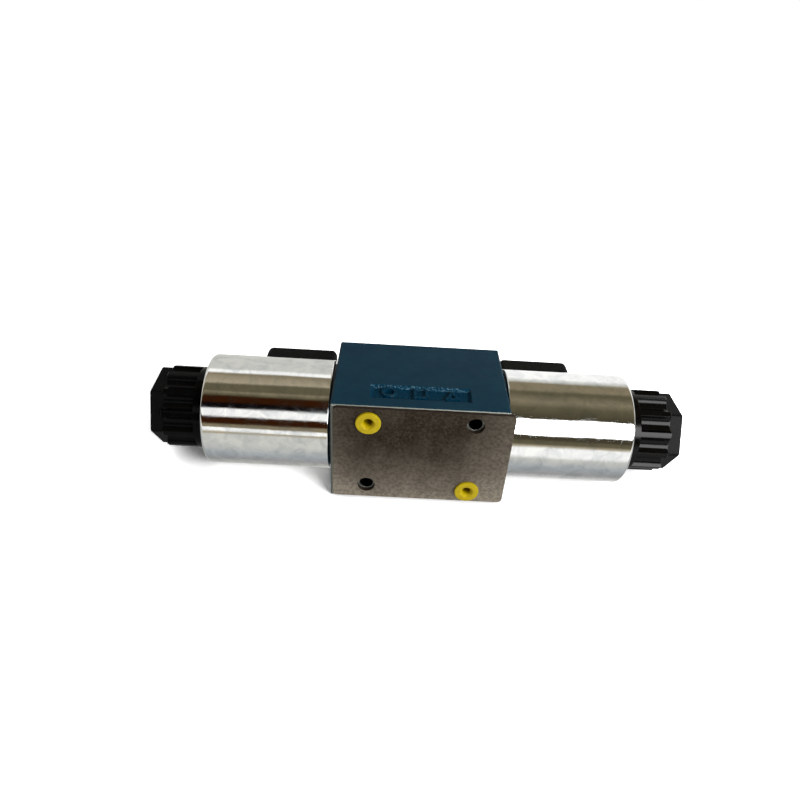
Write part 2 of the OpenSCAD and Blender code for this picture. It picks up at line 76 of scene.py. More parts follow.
def span(node, axis):
    """Lowest and highest coordinate of a CAD node along an axis."""
    low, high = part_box(node)
    return low[axis], high[axis]


def radius(node):
    """Outer radius of a CAD node that is turned about the spool axis."""
    low, high = span(node, 2)
    return (high - low) / 2


SPOOL_Y = sum(span("core_tube_a", 1)) / 2
CASE_IN, CASE_OUT = span("coil_case_a", 0)
CASE_R = radius("coil_case_a")
TUBE_R = radius("core_tube_a")
NUT_IN, NUT_OUT = span("coil_nut_a", 0)
NUT_R = radius("coil_nut_a")
HEX_LEN = 5 * MM
GRIP_END = NUT_OUT - HEX_LEN
PLUG_OUT = span("tube_end_plug_a", 0)[1]
BODY_LOW, BODY_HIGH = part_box("valve_body")
FLOOR_Z = cad_box[0][2]

# ------------------------------------------------------------------------ mesh helpers


def side_matrix(side):
    """Solenoid b is solenoid a turned half round about the Y axis."""
    return Matrix.Rotation(math.pi, 4, "Y") if side == "b" else Matrix.Identity(4)


def dress(obj, material, sharp_deg=32):
    """Smooth shading with sharp edges kept, and one material."""
    mesh = obj.data
    mesh.polygons.foreach_set("use_smooth", [True] * len(mesh.polygons))
    mesh.set_sharp_from_angle(angle=math.radians(sharp_deg))
    mesh.materials.clear()
    mesh.materials.append(material)


def new_object(name, points, faces, material, side, sharp_deg):
    """An object from points given for solenoid a, turned round for solenoid b."""
    mesh = bpy.data.meshes.new(name)
    mesh.from_pydata([tuple(p) for p in points], [], faces)
    mesh.transform(side_matrix(side))
    mesh.validate()
    obj = bpy.data.objects.new(name, mesh)
    scene.collection.objects.link(obj)
    dress(obj, material, sharp_deg)
    return obj


def add_piece(name, points, faces, material, body, replaced=(), side="a", sharp_deg=32):
    """A new visible piece, placed by its points, that rides on a CAD body."""
    obj = new_object(name, points, faces, material, side, sharp_deg)
    obj.modifiers.new("even_normals", "WEIGHTED_NORMAL").keep_sharp = True
    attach(obj, body)
    if replaced:
        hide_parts(*replaced)
    return obj


def filleted(corners, steps=6):
    """A closed outline of (x, r, fillet) corners, with each fillet drawn as an arc."""
    outline = []
    count = len(corners)
    for i, (x, r, fillet) in enumerate(corners):
        here = Vector((x, r))
        if fillet == 0:
            outline.append(here)
            continue
        before = (Vector(corners[i - 1][:2]) - here).normalized()
        after = (Vector(corners[(i + 1) % count][:2]) - here).normalized()
        weight = math.sin(before.angle(after) / 2)
        start, end = here + before * fillet, here + after * fillet
        for k in range(steps + 1):
            t = k / steps
            shares = ((1 - t) ** 2, 2 * weight * t * (1 - t), t * t)
            outline.append((start * shares[0] + here * shares[1] + end * shares[2]) / sum(shares))
    return outline


def loft(rings, endless=True):
    """Points and faces of a skin through closed rings of equal length.

    An endless skin joins its last ring to its first. Any other is capped at both ends.
    """
    size = len(rings[0])
    points = [p for ring in rings for p in ring]
    faces = []
    for i in range(len(rings) if endless else len(rings) - 1):
        here, there = i * size, (i + 1) % len(rings) * size
        for k in range(size):
            after = (k + 1) % size
            faces.append((here + k, here + after, there + after, there + k))
    if not endless:
        faces.append(tuple(range(size)))
        faces.append(tuple(len(points) - size + k for k in reversed(range(size))))
    return points, faces


def around(x, r, angle):
    """A point at a radius and angle about the spool axis."""
    return Vector((x, SPOOL_Y + r * math.cos(angle), r * math.sin(angle)))


def full_turn(steps):
    """Angles of a full turn in even steps."""
    return [2 * math.pi * k / steps for k in range(steps)]


def lathe(name, corners, material, body, replaced=(), side="a", segments=160, sharp_deg=32):
    """A ring-shaped piece turned about the spool axis from its closed outline of (x, r, fillet) corners."""
    turns = full_turn(segments)
    rings = [[around(x, r, turn) for turn in turns] for x, r in filleted(corners)]
    points, faces = loft(rings)
    return add_piece(name, points, faces, material, body, replaced, side, sharp_deg)


# ------------------------------------------------------------------------- materials


class Nodes:
    """A node tree under construction."""

    def __init__(self, owner):
        owner.use_nodes = True
        self.tree = owner.node_tree
        self.tree.nodes.clear()

    def feed(self, socket, value):
        """Gives an input another node's output or a plain value."""
        if isinstance(value, bpy.types.NodeSocket):
            self.tree.links.new(value, socket)
        else:
            socket.default_value = value

    def node(self, kind, inputs=None, **settings):
        made = self.tree.nodes.new(kind)
        for key, value in settings.items():
            setattr(made, key, value)
        for key, value in (inputs or {}).items():
            self.feed(made.inputs[key], value)
        return made

    def fit(self, value, low, high, to_low=0.0, to_high=1.0):
        """A value stretched from one range to another, and clamped."""
        inputs = {"Value": value, "From Min": low, "From Max": high, "To Min": to_low, "To Max": to_high}
        return self.node("ShaderNodeMapRange", inputs).outputs[0]

    def math(self, operation, one, other=0.0):
        return self.node("ShaderNodeMath", {0: one, 1: other}, operation=operation).outputs[0]

    def blend(self, share, one, other):
        """A colour between two colours."""
        made = self.node("ShaderNodeMix", {"Factor": share}, data_type="RGBA")
        for socket, value in ((made.inputs[6], one), (made.inputs[7], other)):
            self.feed(socket, (*value, 1) if isinstance(value, tuple) else value)
        return made.outputs[2]


class Recipe(Nodes):
    """A procedural material: a Principled shader and the nodes that feed it."""

    def __init__(self, name, base, roughness, metallic=0.0):
        self.material = bpy.data.materials.new(name)
        super().__init__(self.material)
        self.shader = self.tree.nodes.new("ShaderNodeBsdfPrincipled")
        self.output = self.tree.nodes.new("ShaderNodeOutputMaterial")
        self.finish_with(self.shader)
        self.set("Base Color", (*base, 1))
        self.set("Roughness", roughness)
        self.set("Metallic", metallic)
        self.normal = None

    def finish_with(self, shader):
        """Makes a shader the one that shows."""
        self.tree.links.new(shader.outputs[0], self.output.inputs[0])

    def set(self, socket, value):
        """Gives a shader input a plain value or another node's output."""
        self.feed(self.shader.inputs[socket], value)

    def place(self, stretch=(1, 1, 1)):
        """Position on the object, in millimetres, stretched per axis."""
        coordinate = self.node("ShaderNodeTexCoord").outputs["Object"]
        scale = [s / MM for s in stretch]
        return self.node("ShaderNodeMapping", {"Vector": coordinate, "Scale": scale}).outputs[0]

    def noise(self, size_mm, detail=4, stretch=(1, 1, 1), distortion=0.0, roughness=0.55):
        """Fractal noise whose features are about size_mm across."""
        inputs = {"Vector": self.place(stretch), "Scale": 1 / size_mm, "Detail": detail,
                  "Distortion": distortion, "Roughness": roughness}
        return self.node("ShaderNodeTexNoise", inputs).outputs["Fac"]

    def axis_mm(self, axis):
        """One coordinate on the object, in millimetres."""
        return self.node("ShaderNodeSeparateXYZ", {"Vector": self.place()}).outputs[axis]

    def facing(self, axis):
        """One part of the true surface normal in object space."""
        normal = self.node("ShaderNodeNewGeometry").outputs["True Normal"]
        local = self.node("ShaderNodeVectorTransform", {0: normal}, vector_type="NORMAL",
                          convert_from="WORLD", convert_to="OBJECT").outputs[0]
        return self.node("ShaderNodeSeparateXYZ", {"Vector": local}).outputs[axis]

    def within(self, axis, low, high):
        """1 where a coordinate, in millimetres, lies between two values."""
        place = self.axis_mm(axis)
        above = self.math("GREATER_THAN", place, low)
        return self.math("MULTIPLY", above, self.math("LESS_THAN", place, high))

    def within_box(self, *ranges):
        """1 inside a box, given as the lowest and highest value on each axis."""
        x_share, y_share, z_share = (self.within(axis, *ends) for axis, ends in enumerate(ranges))
        return self.math("MULTIPLY", self.math("MULTIPLY", x_share, y_share), z_share)

    def edge_wear(self, width_mm):
        """1 along edges, fading to 0 over a width, from the bevel shader."""
        bevel = self.node("ShaderNodeBevel", {"Radius": width_mm * MM}, samples=6).outputs[0]
        unbevelled = self.node("ShaderNodeNewGeometry").outputs["Normal"]
        dot = self.node("ShaderNodeVectorMath", {0: bevel, 1: unbevelled}, operation="DOT_PRODUCT")
        flat, edge = 0.995, 0.9
        return self.fit(dot.outputs["Value"], flat, edge)

    def bump(self, height, depth_mm, strength=1.0):
        """Adds relief. Several calls add up."""
        inputs = {"Height": height, "Distance": depth_mm * MM, "Strength": strength}
        if self.normal is not None:
            inputs["Normal"] = self.normal
        self.normal = self.node("ShaderNodeBump", inputs).outputs[0]
        self.set("Normal", self.normal)

    def round_edges(self, radius_mm):
        """Softens the shading of edges."""
        self.normal = self.node("ShaderNodeBevel", {"Radius": radius_mm * MM}, samples=6).outputs[0]
        self.set("Normal", self.normal)


def blue_enamel():
    """Satin blue machine paint over a cast block, with its mounting face and bores left bare."""
    recipe = Recipe("blue_enamel", (0.003, 0.0225, 0.039), 0.4)
    recipe.round_edges(0.25)
    low, high = BODY_LOW / MM, BODY_HIGH / MM
    cloud = recipe.fit(recipe.noise(9, 3), 0.35, 0.65)
    paint = recipe.blend(cloud, (0.0036, 0.0255, 0.044), (0.0048, 0.0305, 0.051))

    # The marking recess keeps the grain of the casting, and its far wall gets a speckled painted highlight
    in_recess = recipe.within_box((-20, 20), (5.2, 15.4), (high.z - 1.6, high.z - 0.05))
    cast = recipe.noise(0.9, 5)
    cast_paint = recipe.blend(recipe.fit(cast, 0.35, 0.65), (0.0008, 0.016, 0.034), (0.002, 0.034, 0.062))
    paint = recipe.blend(in_recess, paint, cast_paint)
    far_wall = recipe.math("MULTIPLY", in_recess, recipe.within(1, 13.9, 15.3))
    painted_glint = recipe.math("MULTIPLY", far_wall, recipe.fit(recipe.noise(0.6, 3), 0.5, 0.62, 0, 0.6))
    # Painted highlight: the far wall of the recess is lightened in speckles
    paint = recipe.blend(painted_glint, paint, (0.10, 0.19, 0.25))

    # Bare metal: the mounting face, everything machined inside the block, and spots worn on the edges
    skin = 0.9
    bare_face = recipe.math("LESS_THAN", recipe.axis_mm(1), 0.45)
    inside = recipe.within_box(
        (low.x + skin, high.x - skin), (0.3, high.y - 0.7), (low.z + skin, high.z - 1.9))
    wear = recipe.math("MULTIPLY", recipe.edge_wear(0.3), recipe.fit(recipe.noise(2.5, 5), 0.54, 0.62))
    bare = recipe.math("MAXIMUM", bare_face, recipe.math("MULTIPLY", wear, 0.3))
    bare = recipe.math("MAXIMUM", bare, inside)
    scratch = recipe.noise(0.5, 3, stretch=(0.06, 1, 1))
    metal = recipe.blend(scratch, (0.10, 0.105, 0.095), (0.30, 0.31, 0.28))
    # Painted shade: the bare metal inside the block is darkened to near black
    metal = recipe.blend(inside, metal, (0.03, 0.03, 0.03))

    recipe.set("Base Color", recipe.blend(bare, paint, metal))
    recipe.set("Metallic", bare)
    satin = recipe.fit(recipe.noise(3, 4), 0.3, 0.7, 0.36, 0.48)
    recipe.set("Roughness", recipe.math("MAXIMUM", satin, recipe.math("MULTIPLY", in_recess, 0.6)))
    recipe.set("Specular IOR Level", 0.04)
    recipe.bump(recipe.noise(0.9, 2), 0.012)
    recipe.bump(recipe.math("MULTIPLY", cast, in_recess), 0.25)
    return recipe.material


def phosphated_sheet():
    """Thin steel sheet with a dull, mottled brown-grey phosphate coat.

    The coat is paler low down, on the right, towards the left edge and at the lower left corner, partly as
    wear and partly as painted light. It is scuffed low down, and its cut edges are dark.
    """
    recipe = Recipe("phosphated_sheet", (0.1, 0.08, 0.065), 0.5, 0.35)
    recipe.round_edges(0.2)
    grain = recipe.fit(recipe.noise(0.9, 6), 0.36, 0.66)
    # Partly wear, partly painted light: the coat is paler low down, on the right, towards the left edge and
    # at the lower left corner
    low_down = recipe.math("POWER", recipe.fit(recipe.axis_mm(2), 20, -22), 2.8)
    right_side = recipe.fit(recipe.axis_mm(0), 16, 34, 0, 0.34)
    left_side = recipe.fit(recipe.axis_mm(0), -24, -34, 0, 0.15)
    left_corner = recipe.math("MULTIPLY", recipe.fit(recipe.axis_mm(0), -18, -34, 0, 0.4), low_down)
    wear_and_painted_light = recipe.fit(recipe.noise(14, 3, distortion=0.6), 0.34, 0.68, -0.06, 0.08)
    for share in (low_down, right_side, left_side, left_corner):
        wear_and_painted_light = recipe.math("ADD", wear_and_painted_light, share)
    coat = recipe.blend(recipe.math("MAXIMUM", wear_and_painted_light, 0), (0.0155, 0.0105, 0.006), (0.245, 0.212, 0.168))
    coat = recipe.blend(recipe.math("MULTIPLY", grain, 0.24), coat, (0.12, 0.10, 0.078))
    dark_grain = recipe.fit(recipe.noise(1.3, 5), 0.42, 0.62)
    coat = recipe.blend(recipe.math("MULTIPLY", dark_grain, 0.4), coat, (0.010, 0.007, 0.004))
    patch = recipe.fit(recipe.noise(9, 4, distortion=1.0), 0.48, 0.64)
    scuff = recipe.math("MULTIPLY", patch, recipe.fit(recipe.noise(0.4, 5), 0.5, 0.72))
    scuff = recipe.math("MULTIPLY", scuff, recipe.math("MULTIPLY", wear_and_painted_light, 0.5))
    coat = recipe.blend(scuff, coat, (0.24, 0.22, 0.19))
    cut_edge = recipe.fit(recipe.facing(1), -0.9, -0.5)
    coat = recipe.blend(cut_edge, coat, (0.022, 0.014, 0.010))
    recipe.set("Base Color", coat)
    recipe.set("Specular IOR Level", 0.08)
    recipe.set("Roughness", recipe.fit(grain, 0, 1, 0.42, 0.62))
    recipe.bump(recipe.noise(0.35, 4), 0.03)
    recipe.bump(recipe.noise(7, 2), 0.15, 0.6)
    return recipe.material


def bright_plating():
    """Bright plated steel tube, with faint drawing lines that run along it."""
    recipe = Recipe("bright_plating", (0.82, 0.82, 0.80), 0.045, 1.0)
    lines = recipe.noise(0.7, 4, stretch=(0.02, 1, 1))
    stain = recipe.fit(recipe.noise(6, 5, distortion=0.8), 0.4, 0.7)
    recipe.set("Roughness", recipe.fit(stain, 0, 1, 0.04, 0.13))
    recipe.set("Base Color", recipe.blend(stain, (0.88, 0.88, 0.87), (0.66, 0.68, 0.69)))
    recipe.bump(lines, 0.003)
    recipe.bump(recipe.noise(6, 2, stretch=(0.3, 1, 1)), 0.02)
    recipe.bump(recipe.noise(0.9, 3), 0.008)
    return recipe.material


def black_moulding(name, tone, roughness, grain_mm, shine):
    """Black moulded plastic with a fine spark-eroded grain."""
    recipe = Recipe(name, tone, roughness)
    recipe.set("Specular IOR Level", shine)
    recipe.round_edges(0.25)
    cloud = recipe.fit(recipe.noise(5, 4), 0.3, 0.7)
    lighter = tuple(c * 1.8 for c in tone)
    recipe.set("Base Color", recipe.blend(cloud, tone, lighter))
    recipe.set("Roughness", recipe.fit(recipe.noise(2, 4), 0.3, 0.7, roughness - 0.07, roughness + 0.1))
    recipe.bump(recipe.noise(grain_mm, 3), 0.018)
    return recipe


def nut_moulding():
    """The nuts' black plastic: glossy grips, dull hexagons, and the nut of solenoid b reflecting less all
    over, as painted shade.
    """
    grip_roughness = 0.16
    grip_shine = 0.15
    recipe = black_moulding("nut_plastic", (0.001, 0.001, 0.001), grip_roughness, 0.4, grip_shine)
    along = recipe.math("ABSOLUTE", recipe.axis_mm(0))
    hexagon = recipe.fit(along, GRIP_END / MM - 0.4, GRIP_END / MM)
    # Painted shade: the nut of solenoid b reflects less all over
    side_b_painted_shade = recipe.fit(recipe.axis_mm(0), -1, 1, 0.4, 1)
    recipe.set("Roughness", recipe.math("ADD", recipe.math("MULTIPLY", hexagon, 0.35), grip_roughness))
    shine = recipe.math("SUBTRACT", grip_shine, recipe.math("MULTIPLY", hexagon, 0.05))
    recipe.set("Specular IOR Level", recipe.math("MULTIPLY", shine, side_b_painted_shade))
    return recipe.material


def yellow_plastic():
    """Soft yellow polyethylene, slightly waxy."""
    recipe = Recipe("yellow_plastic", (0.5, 0.35, 0.0), 0.45)
    recipe.set("Specular IOR Level", 0.25)
    cloud = recipe.fit(recipe.noise(2.5, 3), 0.3, 0.7)
    recipe.set("Base Color", recipe.blend(cloud, (0.31, 0.23, 0.0), (0.38, 0.285, 0.001)))
    recipe.set("Subsurface Weight", 0.25)
    recipe.set("Subsurface Radius", (1.0, 0.6, 0.1))
    recipe.set("Subsurface Scale", 0.6 * MM)
    recipe.bump(recipe.noise(0.8, 3), 0.03)
    return recipe.material


def worked_metal(name, dark, light, roughness, stretch):
    """Bare metal with fine machining lines along or around the axis."""
    recipe = Recipe(name, light, roughness, 1.0)
    lines = recipe.noise(0.35, 4, stretch=stretch)
    recipe.set("Base Color", recipe.blend(lines, dark, light))
    recipe.set("Roughness", recipe.fit(recipe.noise(3, 4), 0.3, 0.7, roughness - 0.06, roughness + 0.1))
    recipe.bump(lines, 0.01)
    return recipe.material


def rubber():
    """Black seal rubber with a slight bloom."""
    recipe = Recipe("seal_rubber", (0.012, 0.012, 0.012), 0.55)
    bloom = recipe.fit(recipe.noise(1.5, 5), 0.45, 0.75)
    recipe.set("Base Color", recipe.blend(bloom, (0.010, 0.010, 0.010), (0.035, 0.034, 0.032)))
    recipe.bump(recipe.noise(0.3, 3), 0.01)
    return recipe.material


# Which way the machining lines run: each is drawn out along the axes with a small number
ALONG = (0.05, 1, 1)
TURNED = (1, 0.05, 0.05)
UPRIGHT = (1, 1, 0.05)
LOOKS = {
    "body_paint": blue_enamel(),
    "cover_steel": phosphated_sheet(),
    "plug_plastic": yellow_plastic(),
    "plate_aluminium": worked_metal("satin_aluminium", (0.50, 0.51, 0.52), (0.68, 0.69, 0.70), 0.30, UPRIGHT),
    "ground_steel": worked_metal("ground_steel", (0.42, 0.43, 0.44), (0.60, 0.61, 0.62), 0.18, TURNED),
    "turned_steel": worked_metal("turned_steel", (0.30, 0.31, 0.32), (0.48, 0.49, 0.50), 0.30, TURNED),
    "tube_steel": worked_metal("tube_steel", (0.42, 0.43, 0.44), (0.58, 0.59, 0.60), 0.25, ALONG),
    "spring_steel": worked_metal("spring_steel", (0.16, 0.165, 0.17), (0.30, 0.31, 0.32), 0.32, (1, 1, 1)),
    "shim_brass": worked_metal("shim_brass", (0.55, 0.40, 0.15), (0.72, 0.56, 0.25), 0.28, (1, 0.1, 1)),
    "copper_wire": worked_metal("copper_wire", (0.45, 0.17, 0.06), (0.70, 0.30, 0.12), 0.30, TURNED),
    "blade_tin": worked_metal("tinned_blade", (0.52, 0.52, 0.50), (0.70, 0.70, 0.68), 0.28, (1, 0.05, 1)),
    "coil_plating": bright_plating(),
    "bobbin_plastic": black_moulding("bobbin_plastic", (0.012, 0.012, 0.012), 0.5, 0.5, 0.4).material,
    "connector_plastic": black_moulding(
        "connector_plastic", (0.002, 0.002, 0.0016), 0.5, 0.35, 0.035).material,
    "nut_plastic": nut_moulding(),
    "seal_rubber": rubber(),
}

# ----------------------------------------------------- CAD nodes that keep their own shape


def finish_cad_nodes():
    """Gives every CAD node its slot's material and smooth shading. The shape stays the CAD's."""
    slots = {s["node"]: s["material_slot"] for s in frame["record"]["subparts"]}
    for name, obj in frame["nodes"].items():
        dress(obj, LOOKS[slots[name]], 28)


def soften(node, width_mm, segments=2, angle_deg=40):
    """Rounds the sharp edges of a CAD node with a narrow bevel."""
    bevel = frame["nodes"][node].modifiers.new("soft_edges", "BEVEL")
    bevel.width = width_mm * MM
    bevel.segments = segments
    bevel.limit_method = "ANGLE"
    bevel.angle_limit = math.radians(angle_deg)
    bevel.harden_normals = True


# ------------------------------------------------------------------------ new pieces


def coil_case(side):
    """The plated case: a drawn cup with a rolled outer edge and a closed end."""
    bore = CASE_R - 2.6 * MM
    hole = TUBE_R + 0.4 * MM
    end_wall = 3 * MM
    inner_edge, rolled_edge, hole_edge, corner = 0.5 * MM, 1.3 * MM, 0.3 * MM, 0.4 * MM
    corners = [
        (CASE_IN, bore, 0),
        (CASE_IN, CASE_R, inner_edge),
        (CASE_OUT, CASE_R, rolled_edge),
        (CASE_OUT, hole, hole_edge),
        (CASE_OUT - end_wall, hole, 0),
        (CASE_OUT - end_wall, bore, corner),
    ]
    lathe("plated_case_" + side, corners, LOOKS["coil_plating"], "coil_" + side,
          ["coil_case_" + side], side, segments=256)


def winding(side):
    """Layers of enamelled wire: the outer turns show as ridges."""
    start, end = span("coil_winding_a", 0)
    outer = radius("coil_winding_a")
    bobbin_wall = 1.45 * MM
    inner = TUBE_R + bobbin_wall
    wire = 0.8 * MM
    turns = int((end - start) / wire)
    pitch = (end - start) / turns
    valley = 0.45 * wire / 2
    flank = 0.35
    corners = [(start, inner, 0)]
    for i in range(turns):
        for off, drop in ((-flank, valley), (0, 0), (flank, valley)):
            corners.append((start + (i + 0.5 + off) * pitch, outer - drop, 0))
    corners.append((end, inner, 0))
    lathe("wire_layers_" + side, corners, LOOKS["copper_wire"], "coil_" + side,
          ["coil_winding_" + side], side, segments=96, sharp_deg=80)


def ring_piece(name, node, side, inner, round_off, body):
    """A rubber ring with rounded edges, in the space of its CAD node."""
    start, end = span(node + "_a", 0)
    outer = radius(node + "_a")
    corners = [(x, r, round_off) for x, r in ((start, inner), (start, outer), (end, outer), (end, inner))]
    lathe(name + "_" + side, corners, LOOKS["seal_rubber"], body, [node + "_" + side], side,
          segments=128)


FLUTES = 12
FLUTE_R = 3.6 * MM
FLUTE_DEPTH = 2.4 * MM
COLLAR = 4 * MM
FLATS = 28.2 * MM
HEX_PITCH = math.pi / 3
NUT_B_TURN = math.radians(-5)


def smooth_min(one, other, softness):
    """The smaller of two lengths, with the crease between them rounded."""
    gap = max(-1.0, min(1.0, (other - one) / softness))
    share = (gap + 1) / 2
    return other * (1 - share) + one * share - softness * share * (1 - share)


def fluted(angle):
    """Outline of the nut's grip: round, with concave flutes between narrow ridges."""
    pitch = 2 * math.pi / FLUTES
    off = (angle / pitch) % 1 - 0.5
    centre = NUT_R + FLUTE_R - FLUTE_DEPTH
    across = centre * math.sin(off * pitch)
    reach = FLUTE_R ** 2 - across ** 2
    if reach <= 0:
        return NUT_R
    return smooth_min(NUT_R, centre * math.cos(off * pitch) - math.sqrt(reach), 0.3 * MM)


def hexagonal(angle):
    """Outline of the nut's hexagon, with its six corners slightly rounded."""
    sharpness = 60
    total = sum(abs(math.cos(angle - (i + 0.5) * HEX_PITCH)) ** sharpness for i in range(3))
    return FLATS / 2 / total ** (1 / sharpness)


def coil_nut(side):
    """The retaining nut: a plain collar, a fluted grip, a hexagon and a window for the override pin."""
    turns = full_turn(FLUTES * 40)
    bore = TUBE_R + 0.25 * MM
    seal_bore = TUBE_R + 2.3 * MM
    seal_floor = span("nut_seal_a", 0)[1] + 0.1 * MM
    bore_end = PLUG_OUT + 0.4 * MM
    window = 6 * MM
    window_edge = 0.4 * MM
    step = 0.1 * MM
    edge = 0.7 * MM
    quarter = [math.pi / 2 * i / 4 for i in range(5)]
    rounding = [(edge * (1 - math.sin(a)), edge * (1 - math.cos(a))) for a in quarter]

    def plain(x, r):
        return [around(x, r, turn) for turn in turns]

    def shaped(x, outline, drop=0):
        return [around(x, outline(turn) - drop, turn) for turn in turns]

    def circle(angle):
        return NUT_R

    def eased(x, drop):
        return [around(x, max(fluted(turn) - drop, hexagonal(turn)), turn) for turn in turns]

    rings = [plain(seal_floor, bore), plain(seal_floor, seal_bore), plain(NUT_IN, seal_bore)]
    rings += [shaped(NUT_IN + inset, circle, drop) for inset, drop in reversed(rounding)]
    rings += [shaped(NUT_IN + COLLAR, circle), shaped(NUT_IN + COLLAR + step, fluted)]
    rings += [eased(GRIP_END - inset, drop) for inset, drop in rounding]
    rings += [shaped(GRIP_END, hexagonal)]
    rings += [shaped(NUT_OUT - inset, hexagonal, drop) for inset, drop in rounding]
    rings += [plain(NUT_OUT, window + window_edge), plain(NUT_OUT - window_edge, window)]
    rings += [plain(bore_end, window), plain(bore_end, bore)]
    points, faces = loft(rings)
    if side == "b":
        to_axle = Matrix.Translation((0, SPOOL_Y, 0))
        turned = to_axle @ Matrix.Rotation(NUT_B_TURN, 4, "X") @ to_axle.inverted()
        points = [turned @ p for p in points]
    add_piece("fluted_nut_" + side, points, faces, LOOKS["nut_plastic"], "coil_nut_" + side,
              ["coil_nut_" + side], side, sharp_deg=45)


def transport_plugs():
    """Two yellow push-in plugs, each a soft flange with a flared hole and a thin hollow shank."""
    front, back = span("transport_plugs", 1)
    plate_front, plate_back = span("transport_plate", 1)
    low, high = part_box("transport_plugs")
    flange = 9.7 * MM / 2
    shank = 2.65 * MM
    bore = 2.3 * MM
    lip = 1.7 * MM
    flare = 0.9 * MM
    corners = [
        (front, flange, 0.45 * MM),
        (plate_front, flange, 0.1 * MM),
        (plate_front, shank, 0),
        (back, shank, 0.15 * MM),
        (back, bore, 0.1 * MM),
        (plate_back, bore, 0),
        (plate_back, lip, 0),
        (front + MM, lip, 0.3 * MM),
        (front, lip + flare, 0.3 * MM),
    ]
    outline = filleted(corners)
    points = []
    faces = []
    for x, z in ((low.x + flange, high.z - flange), (high.x - flange, low.z + flange)):
        rings = [[Vector((x + r * math.cos(turn), y, z + r * math.sin(turn))) for turn in full_turn(96)]
                 for y, r in outline]
        more, more_faces = loft(rings)
        faces += [tuple(i + len(points) for i in face) for face in more_faces]
        points += more
    add_piece("yellow_plugs", points, faces, LOOKS["plug_plastic"], "transport_cover",
              ["transport_plugs"], sharp_deg=40)


def return_spring(side):
    """The centring spring: round wire with closed ends, between seat and pole piece."""
    start, end = span("return_spring_a", 0)
    wire = 0.7 * MM
    mean = radius("return_spring_a") - wire
    turns = 5
    steps = 40 * turns
    closed = 1 / turns
    dead = 2 * wire * 0.9
    from_x, to_x = start + wire, end - wire

    def along(share):
        """Where the wire is, with one closed turn at each end and an even pitch between."""
        if share < closed:
            return from_x + dead * share / closed
        if share > 1 - closed:
            return to_x - dead * (1 - share) / closed
        return from_x + dead + (to_x - from_x - 2 * dead) * (share - closed) / (1 - 2 * closed)

    rings = []
    for i in range(steps + 1):
        share = i / steps
        turn = math.pi / 2 - 2 * math.pi * turns * share
        rings.append([around(along(share) + wire * math.sin(lap), mean + wire * math.cos(lap), turn)
                      for lap in full_turn(16)])
    points, faces = loft(rings, endless=False)
    obj = new_object("coil_spring_" + side, points, faces, LOOKS["spring_steel"], side, 60)
    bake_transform(obj)
    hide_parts("return_spring_" + side)


# ------------------------------------------------------------------- stage and light


def floor():
    """A plain pale floor under the valve. The camera sees it overexposed, so only deep shadows show on it,
    and its colour for the camera is darkened by painted shadow where things close over it.
    """
    reach = 6.0
    mesh = bpy.data.meshes.new("floor")
    corners = [(x * reach, y * reach, FLOOR_Z) for x, y in ((-1, -1), (1, -1), (1, 1), (-1, 1))]
    mesh.from_pydata(corners, [], [(0, 1, 2, 3)])
    obj = bpy.data.objects.new("floor", mesh)
    scene.collection.objects.link(obj)
    closed_in, open_air, far_off = 1.2, 3.0, 6.0
    recipe = Recipe("pale_floor", (0.86, 0.86, 0.86), 0.7)
    tone = recipe.blend(recipe.noise(80, 3), (0.85, 0.85, 0.85), (0.88, 0.88, 0.88))
    # Painted shadow: the colour the camera sees darkens where things close over the floor
    openness = recipe.node("ShaderNodeAmbientOcclusion", {"Distance": 60 * MM}, samples=8).outputs["AO"]
    near_with_painted_shadow = recipe.blend(recipe.fit(openness, 0.35, 0.85), (closed_in,) * 3, (open_air,) * 3)
    away = recipe.node("ShaderNodeVectorMath", {0: recipe.place()}, operation="LENGTH").outputs["Value"]
    exposed = recipe.blend(recipe.fit(away, 180, 450), near_with_painted_shadow, (far_off,) * 3)
    seen = recipe.node("ShaderNodeLightPath").outputs["Is Camera Ray"]
    recipe.finish_with(recipe.node("ShaderNodeBsdfDiffuse", {"Color": recipe.blend(seen, tone, exposed)}))
    obj.data.materials.append(recipe.material)
    obj.visible_glossy = False


# How bright the white surroundings are as soft light, and the colours of the room that mirrors see
SKY = 0.38
WINDOW = (11.0, 11.2, 11.0)
WHITE = (1.1, 1.1, 1.08)
PALE = (0.66, 0.66, 0.62)
GREY = (0.34, 0.34, 0.34)
MIST = (0.40, 0.43, 0.45)
SAND = (0.44, 0.38, 0.27)
BEIGE = (0.25, 0.21, 0.135)
OLIVE = (0.125, 0.11, 0.065)
DUSK = (0.06, 0.05, 0.03)
BROWN = (0.034, 0.009, 0.002)
BLACK = (0.004, 0.003, 0.003)

# What the plating mirrors on each side, as (degrees above the floor in front, colour): from straight
# down in front, over the top at 90, to the floor behind at 180 and beyond
ROOM_LEFT = [
    (-90, GREY), (-72, MIST), (-42, PALE), (-19, PALE), (-16, SAND), (-14, SAND), (-11, WHITE), (-5, WHITE),
    (-3, BEIGE), (2, BEIGE), (6, BROWN), (18, BROWN), (21, WHITE), (34, WHITE), (36, BLACK), (45, BLACK),
    (50, BROWN), (61, BROWN), (65, OLIVE), (70, BEIGE), (73, OLIVE), (88, OLIVE), (92, SAND), (114, BEIGE),
    (118, WHITE), (122, WHITE), (128, PALE), (220, PALE), (270, GREY)]
ROOM_RIGHT = [
    (-90, GREY), (-66, MIST), (-40, PALE), (-32, WHITE), (-14, WHITE), (-10, SAND), (-5, OLIVE), (1, OLIVE),
    (5, DUSK), (13, DUSK), (17, WINDOW), (44, WINDOW), (47, DUSK), (72, OLIVE), (85, BEIGE), (104, OLIVE),
    (108, OLIVE), (114, BEIGE), (132, BEIGE), (140, PALE), (150, WHITE), (220, WHITE), (270, GREY)]


